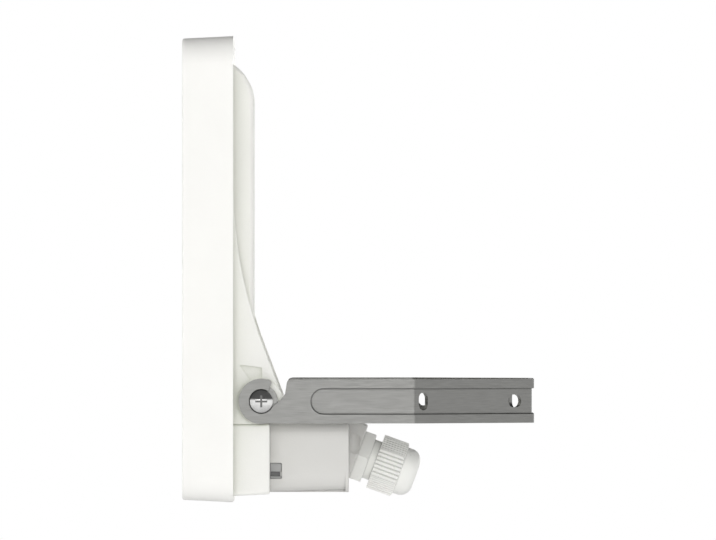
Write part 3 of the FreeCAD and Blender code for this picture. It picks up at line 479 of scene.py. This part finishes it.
def window_latches():
    """Grey latch plate in each side window of the box, round a slot, whose darkness is painted shade: a
    dark sheet set deep in it.
    """
    box_low, box_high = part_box("terminal_box")
    floor = box_high[0] - window_depth
    front = box_low[1] + latch_play
    rear = box_low[1] + window_width - latch_play
    window_low = window_top - window_height
    slot_low = window_low + slot_lift
    slot_high = slot_low + slot_height
    slot_rear = box_low[1] + window_width - slot_inset
    latch = bmesh.new()
    hollow = bmesh.new()
    for side in (-1, 1):
        for z_range in ((slot_high, window_top - latch_play), (window_low + latch_play, slot_low)):
            ledged_plate(latch, side, floor, latch_thickness, (front, rear), z_range, latch_edge)
        # Dark sheet of painted shade deep in the slot
        ledged_plate(hollow, side, floor - slot_depth, slot_thickness, (front, slot_rear - latch_play),
                     (slot_low + latch_play / 2, slot_high - latch_play / 2), slot_edge)
    add_piece("window_latches", latch, latch_grey, "lamp_head")
    add_piece("window_slot_shades", hollow, slot_shade_grey, "lamp_head")


def rounded_square(half, corner, middle, y, steps=10):
    """Points of a square with round corners, upright at one Y."""
    points = []
    for quarter in range(4):
        centre_x = (half - corner) * (1 if quarter in (0, 3) else -1)
        centre_z = (half - corner) * (1 if quarter in (0, 1) else -1)
        for step in range(steps + 1):
            angle = (quarter + step / steps) * math.pi / 2
            points.append((centre_x + corner * math.cos(angle), y,
                           middle + centre_z + corner * math.sin(angle)))
    return points


def enamel_border():
    """Pale fired border on the back of the front glass, over the gasket."""
    glass_low, glass_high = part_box("front_glass")
    middle = (glass_low[2] + glass_high[2]) / 2
    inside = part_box("reflector_frame")[1][0] - enamel_past_reflector
    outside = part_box("glass_gasket")[1][0] + enamel_past_gasket
    rear = glass_high[1] - enamel_sink
    front = rear - enamel_thickness
    shape = bmesh.new()
    rings = []
    for half, corner, y in ((inside, enamel_inner_corner, rear), (outside, enamel_outer_corner, rear),
                            (outside, enamel_outer_corner, front), (inside, enamel_inner_corner, front)):
        rings.append([shape.verts.new(point) for point in rounded_square(half, corner, middle, y)])
    for ring, following in zip(rings, rings[1:] + rings[:1]):
        for index, vert in enumerate(ring):
            after = (index + 1) % len(ring)
            shape.faces.new((vert, ring[after], following[after], following[index]))
    add_piece("enamel_border", shape, glass_enamel, "lamp_head")


def welded(mesh):
    """Bmesh of a mesh, with the points that lie on each other made one."""
    shape = bmesh.new()
    shape.from_mesh(mesh)
    bmesh.ops.remove_doubles(shape, verts=shape.verts, dist=weld_distance)
    return shape


def separate_solids(mesh):
    """Lowest and highest corner of each separate solid of a mesh, in the mesh's own order."""
    shape = welded(mesh)
    shape.verts.index_update()
    taken = set()
    found = []
    for first in shape.verts:
        if first.index in taken:
            continue
        taken.add(first.index)
        reached = [first]
        for vert in reached:
            for edge in vert.link_edges:
                other = edge.other_vert(vert)
                if other.index not in taken:
                    taken.add(other.index)
                    reached.append(other)
        columns = list(zip(*(vert.co for vert in reached)))
        found.append((Vector(map(min, columns)), Vector(map(max, columns))))
    shape.free()
    return found


def cross_cutter(shape, face, outward, reach, width, depth):
    """Adds two crossed tapered bars that cut a cross recess into a screw head."""
    upward = Vector((0, 0, 1))
    sideways = outward.cross(upward)
    for along, across in ((upward, sideways), (sideways, upward)):
        rings = []
        for lift, share in ((recess_start, 1.0), (-depth, recess_taper)):
            level = face + outward * lift
            long_way = along * reach * share
            short_way = across * width / 2 * (1 + share) / 2
            rings.append([shape.verts.new(level + long_way * a + short_way * b)
                          for a, b in ((1, 1), (-1, 1), (-1, -1), (1, -1))])
        shape.faces.new(rings[0])
        shape.faces.new(list(reversed(rings[1])))
        for index in range(4):
            after = (index + 1) % 4
            shape.faces.new((rings[0][index], rings[1][index], rings[1][after], rings[0][after]))


def recessed_screws(node, outward, reach, width, depth):
    """The node's screws with a cross recess cut into each head."""
    cutters = bmesh.new()
    for low, high in separate_solids(nodes[node].data):
        middle = (low + high) / 2
        level = max(low.dot(outward), high.dot(outward))
        face = middle + outward * (level - middle.dot(outward))
        cross_cutter(cutters, face, outward, reach, width, depth)
    bmesh.ops.recalc_face_normals(cutters, faces=cutters.faces)
    tool_mesh = bpy.data.meshes.new(node + "_cutters")
    cutters.to_mesh(tool_mesh)
    cutters.free()
    tool = add_object(node + "_cutters", tool_mesh)
    heads = welded(nodes[node].data)
    piece = add_piece(node + "_recessed", heads, screw_steel, "lamp_head")
    cut = piece.modifiers.new("recess", "BOOLEAN")
    cut.operation = "DIFFERENCE"
    cut.solver = "EXACT"
    cut.use_self = True
    cut.object = tool
    evaluated = piece.evaluated_get(bpy.context.evaluated_depsgraph_get())
    finished = bpy.data.meshes.new_from_object(evaluated)
    piece.modifiers.clear()
    piece.data = finished
    bpy.data.objects.remove(tool)
    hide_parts(node)


window_latches()
enamel_border()
for screws, (facing, reach, width, depth) in screw_recesses.items():
    recessed_screws(screws, Vector(facing), reach, width, depth)


# Floor, world, lamps and camera


def stage_floor():
    """Plain pale floor below the light."""
    mesh = bpy.data.meshes.new("floor")
    points = [(floor_half * x, floor_half * y, 0) for x, y in ((-1, -1), (1, -1), (1, 1), (-1, 1))]
    mesh.from_pydata(points, [], [(0, 1, 2, 3)])
    floor = add_object("floor", mesh)
    floor.location = (0, 0, floor_level)
    graph = Graph("floor_pale")
    graph.colour(graph.blend(graph.noise(cells=3, detail=2), (0.90, 0.90, 0.90), (0.88, 0.88, 0.88)))
    graph.set(Roughness=0.9)
    far = graph.node("ShaderNodeVectorMath", operation="LENGTH")
    graph.join(graph.place(), far.inputs[0])
    fade = graph.ramp(far.outputs["Value"], shaded_within, white_beyond, white_share_near, 1.0)
    rays = graph.node("ShaderNodeLightPath")
    seen = graph.number("MAXIMUM", rays.outputs["Is Camera Ray"], rays.outputs["Is Glossy Ray"])
    seen = graph.number("MAXIMUM", seen, rays.outputs["Is Transmission Ray"])
    glow = graph.node("ShaderNodeEmission")
    mix = graph.node("ShaderNodeMixShader")
    graph.join(graph.number("MULTIPLY", fade, seen), mix.inputs["Fac"])
    graph.join(graph.shader.outputs["BSDF"], mix.inputs[1])
    graph.join(glow.outputs["Emission"], mix.inputs[2])
    graph.join(mix.outputs["Shader"], graph.tree.nodes["Material Output"].inputs["Surface"])
    mesh.materials.append(graph.material)


def world_light():
    """White to the camera and through glass, darker overhead in mirrors, soft and weaker as light."""
    world = bpy.data.worlds.new("studio")
    bpy.context.scene.world = world
    world.use_nodes = True
    tree = world.node_tree
    background = tree.nodes["Background"]
    direction = tree.nodes.new("ShaderNodeTexCoord")
    split = tree.nodes.new("ShaderNodeSeparateXYZ")
    tree.links.new(direction.outputs["Generated"], split.inputs["Vector"])
    rays = tree.nodes.new("ShaderNodeLightPath")

    def by_height(low, high, at_low, at_high):
        """Strength that changes between two heights of the ray's direction."""
        made = tree.nodes.new("ShaderNodeMapRange")
        made.inputs["From Min"].default_value = low
        made.inputs["From Max"].default_value = high
        made.inputs["To Min"].default_value = at_low
        made.inputs["To Max"].default_value = at_high
        tree.links.new(split.outputs["Z"], made.inputs["Value"])
        return made.outputs["Result"]

    def choose(ray, other, seen):
        """Strength seen by one kind of ray, and the other strength for the rest."""
        made = tree.nodes.new("ShaderNodeMix")
        tree.links.new(rays.outputs[ray], made.inputs[0])
        tree.links.new(other, made.inputs[2])
        if isinstance(seen, float):
            made.inputs[3].default_value = seen
        else:
            tree.links.new(seen, made.inputs[3])
        return made.outputs[0]

    strength = by_height(low=0.0, high=0.8, at_low=0.62, at_high=0.15)
    mirrored = by_height(low=0.07, high=0.2, at_low=1.0, at_high=0.1)
    strength = choose("Is Glossy Ray", strength, mirrored)
    strength = choose("Is Transmission Ray", strength, 1.0)
    strength = choose("Is Camera Ray", strength, 1.0)
    tree.links.new(strength, background.inputs["Strength"])
    background.inputs["Color"].default_value = (1.0, 1.0, 1.0, 1.0)


def lamp(name, place, size, radiance, mirrored=True, aim=None, height=None):
    """Soft lamp, aimed at the object or along aim; radiance is its brightness as seen."""
    light = bpy.data.lights.new(name, "AREA")
    light.shape = "RECTANGLE"
    light.size = size
    light.size_y = height or size
    light.energy = radiance * math.pi * size * light.size_y
    made = add_object(name, light)
    made.location = place
    if aim is None:
        aim = lamp_target - Vector(place)
    made.rotation_mode = "QUATERNION"
    made.rotation_quaternion = aim.to_track_quat("-Z", "Y")
    made.visible_camera = False
    made.visible_glossy = mirrored


def photo_camera():
    """Long-lens camera that looks along -X at the light's side."""
    data = bpy.data.cameras.new("camera")
    data.type = "PERSP"
    data.lens = lens
    data.sensor_width = sensor
    data.clip_start = nearest_seen
    data.clip_end = farthest_seen
    camera = add_object("camera", data)
    distance = photo_width * metres_per_pixel * lens / sensor
    camera.location = view_centre + Vector((distance, 0, 0))
    camera.rotation_mode = "QUATERNION"
    camera.rotation_quaternion = Vector((-1, 0, 0)).to_track_quat("-Z", "Y")
    bpy.context.scene.camera = camera


stage_floor()
world_light()
lamp("lamp_side", place=(4.6, -0.2, 0.2), size=4.4, height=1.0, radiance=1.25)
lamp("lamp_fill", place=(4.6, 0.2, 0.35), size=3.2, height=1.5, radiance=7.35, mirrored=False)
lamp("lamp_front", place=(0.0, -4.6, 0.4), size=3.5, radiance=2.3, mirrored=False)
lamp("lamp_back", place=(-2.6, 3.8, 0.4), size=3.5, radiance=2.5, mirrored=False)
lamp("lamp_far", place=(-4.6, -0.6, 0.4), size=3.5, radiance=2.5, mirrored=False)
lamp("lamp_far_side", place=(-4.6, -0.2, 0.2), size=4.4, height=1.0, radiance=1.25)
lamp("lamp_under", place=(0.3, -0.08, floor_level + lowest_lamp_lift), size=1.6, radiance=0.2,
     mirrored=False, aim=Vector((0, 0, 1)))
photo_camera()

bpy.context.scene.view_settings.view_transform = "Standard"
